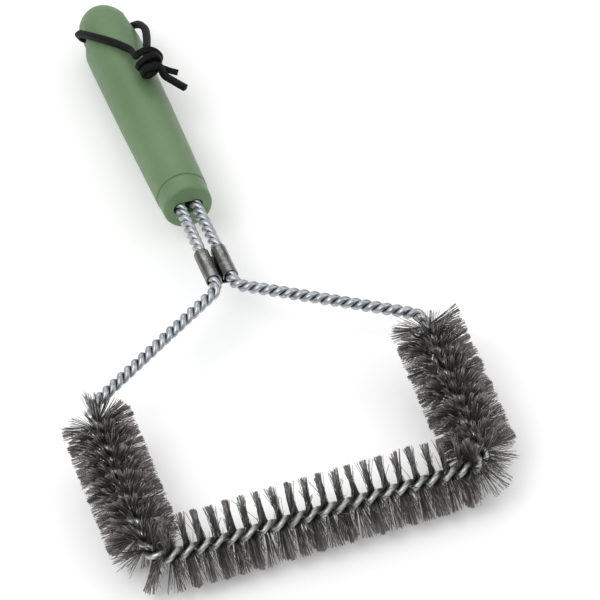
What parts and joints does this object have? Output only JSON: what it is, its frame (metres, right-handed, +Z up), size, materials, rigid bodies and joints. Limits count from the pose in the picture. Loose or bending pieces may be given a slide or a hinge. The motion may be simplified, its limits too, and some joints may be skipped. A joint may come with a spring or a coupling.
{
  "type": "three-sided grill cleaning brush",
  "caption": "Long-handled grill cleaning brush with a U-shaped twisted-wire bristle head, a crimped steel clip, a moulded handle and a knotted hanging cord.",
  "frame": {"origin": "centre of the footprint, on the surface the brush rests on", "axes": "+Z up with the brush resting on its bar bristles and handle end, +Y from the brush head towards the handle end, X across the head"},
  "size_m": [0.2254, 0.4588, 0.0525],
  "materials": {
    "handle_green": "satin matte",
    "clip_steel": "polished sheet",
    "galvanised_wire": "galvanised",
    "bristle_steel": "dark oiled wire",
    "black_lace": "matte"
  },
  "bodies": {
    "brush": {"handle_body": "handle_green", "handle_nose_plug": "handle_green", "crimp_clip": "clip_steel", "core_wire_a": "galvanised_wire", "core_wire_b": "galvanised_wire", "bristles_left_upper": "bristle_steel", "bristles_left_middle": "bristle_steel", "bristles_left_lower": "bristle_steel", "bristles_left_corner": "bristle_steel", "bristles_bar_1": "bristle_steel", "bristles_bar_2": "bristle_steel", "bristles_bar_3": "bristle_steel", "bristles_bar_4": "bristle_steel", "bristles_bar_5": "bristle_steel", "bristles_bar_6": "bristle_steel", "bristles_right_corner": "bristle_steel", "bristles_right_lower": "bristle_steel", "bristles_right_middle": "bristle_steel", "bristles_right_upper": "bristle_steel"},
    "cord": {"hang_cord": "black_lace"}
  },
  "joints": [
    {"name": "cord_swing", "type": "hinge", "parent": "brush", "child": "cord", "pos_m": [0.00028, 0.20802, 0.01695], "axis": [-1, 0, 0], "range_deg": [0, 120]}
  ]
}
